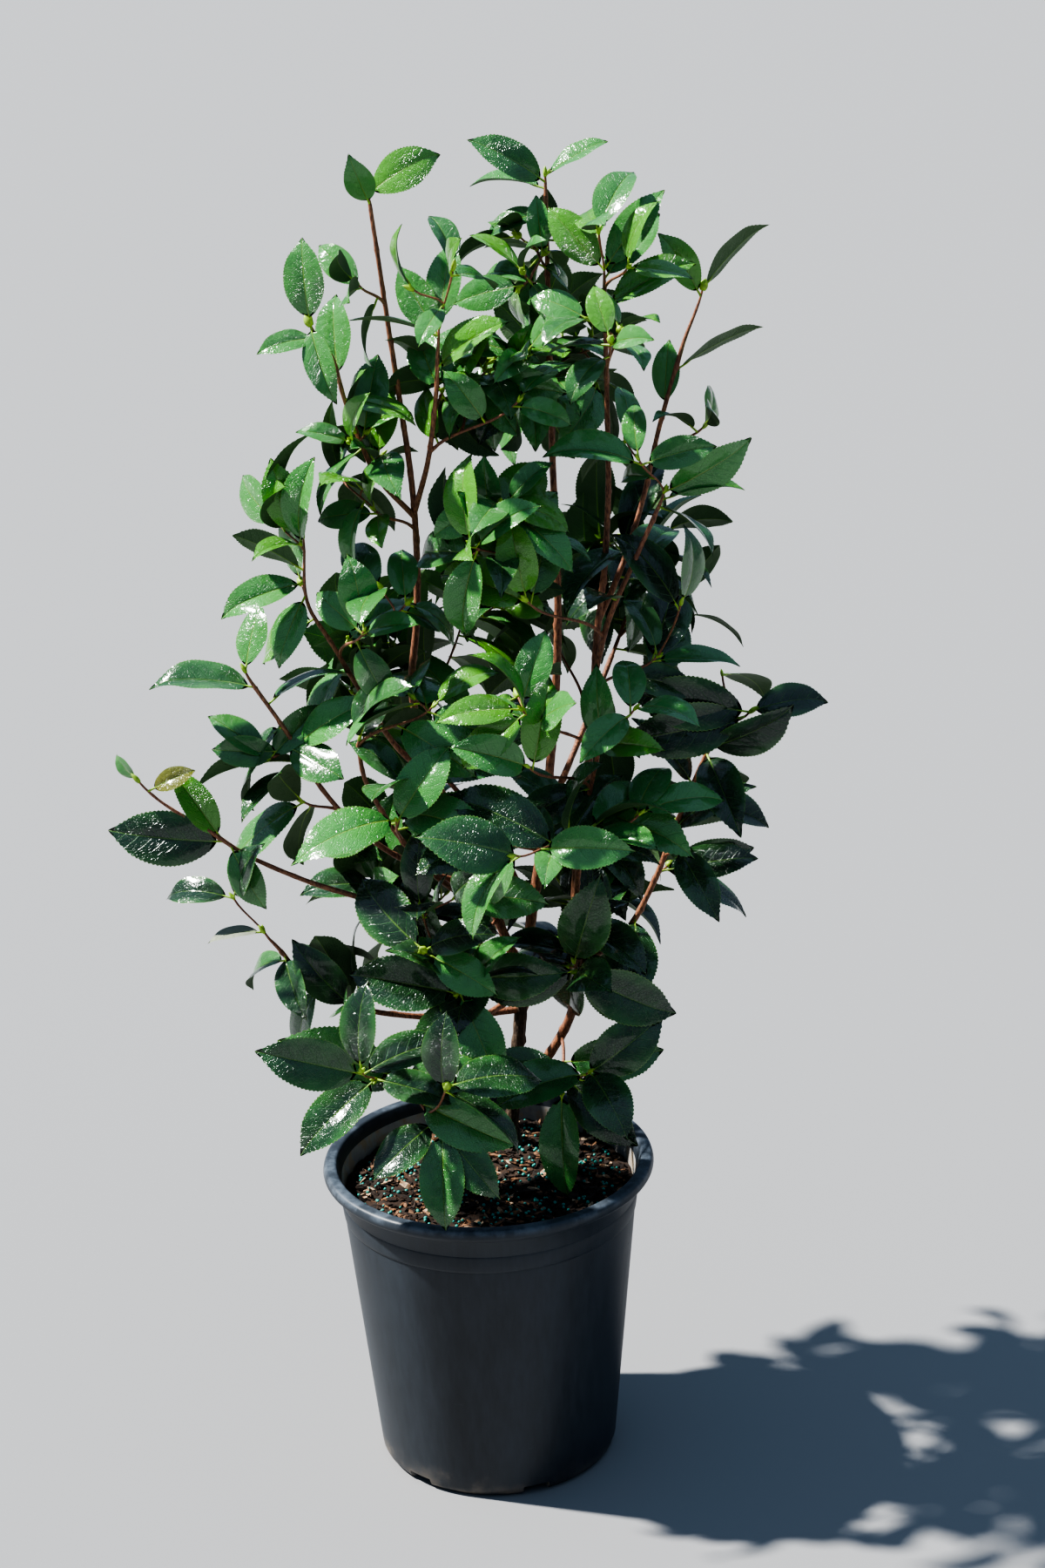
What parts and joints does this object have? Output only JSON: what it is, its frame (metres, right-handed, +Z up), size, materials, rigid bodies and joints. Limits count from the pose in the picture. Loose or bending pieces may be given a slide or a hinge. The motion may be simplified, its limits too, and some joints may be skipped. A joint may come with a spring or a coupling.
{
  "type": "potted camellia shrub",
  "caption": "Young evergreen camellia shrub with forked slender stems and open sprays of glossy pointed leaves, standing in a round tapered nursery pot with a rolled rim.",
  "frame": {"origin": "middle of the pot's flat underside", "axes": "+Z up along the shrub, -Y towards the shrub's front, +X towards its right as seen from the front"},
  "size_m": [0.574, 0.41, 1.113],
  "materials": {
    "pot_plastic": "blue-black plastic, matt, dusty and a little scuffed",
    "potting_mix": "dark composted bark with tan chips and small blue-green fertilizer beads",
    "trunk_bark": "smooth grey-brown bark",
    "bough_bark": "smooth red-brown young bark",
    "foliage": "thick glossy dark green leaves, paler and matt beneath"
  },
  "bodies": {
    "root": {"bough_back_left": "bough_bark", "bough_back_right": "bough_bark", "bough_front_high": "bough_bark", "bough_front_low": "bough_bark", "bough_front_right": "bough_bark", "bough_left_far": "bough_bark", "bough_left_front": "bough_bark", "bough_left_high": "bough_bark", "bough_left_low": "bough_bark", "bough_left_mid": "bough_bark", "bough_left_upper": "bough_bark", "bough_right_front": "bough_bark", "bough_right_low": "bough_bark", "bough_right_top": "bough_bark", "leader_centre": "bough_bark", "leader_left": "bough_bark", "leader_right": "bough_bark", "mass_back_crest": "foliage", "mass_back_left": "foliage", "mass_back_low_left": "foliage", "mass_back_low_right": "foliage", "mass_back_middle": "foliage", "mass_back_right": "foliage", "mass_centre_crest": "foliage", "mass_centre_waist": "foliage", "mass_far_left": "foliage", "mass_far_right_top": "foliage", "mass_foot_front": "foliage", "mass_foot_left": "foliage", "mass_foot_right": "foliage", "mass_front_centre": "foliage", "mass_front_crest": "foliage", "mass_front_hem": "foliage", "mass_front_left": "foliage", "mass_front_right": "foliage", "mass_front_waist": "foliage", "mass_front_waist_left": "foliage", "mass_front_waist_right": "foliage", "mass_left_crest": "foliage", "mass_left_flank": "foliage", "mass_left_heart": "foliage", "mass_left_hem": "foliage", "mass_left_low": "foliage", "mass_left_shoulder": "foliage", "mass_left_tip": "foliage", "mass_left_upper": "foliage", "mass_right_crest": "foliage", "mass_right_dark": "foliage", "mass_right_gap": "foliage", "mass_right_hem": "foliage", "mass_right_low": "foliage", "mass_right_middle": "foliage", "mass_right_shoulder": "foliage", "mass_right_waist": "foliage", "mass_top_centre": "foliage", "mass_top_left": "foliage", "mass_upper_middle": "foliage", "pot": "pot_plastic", "potting_mix": "potting_mix", "trunk": "trunk_bark"}
  },
  "joints": []
}
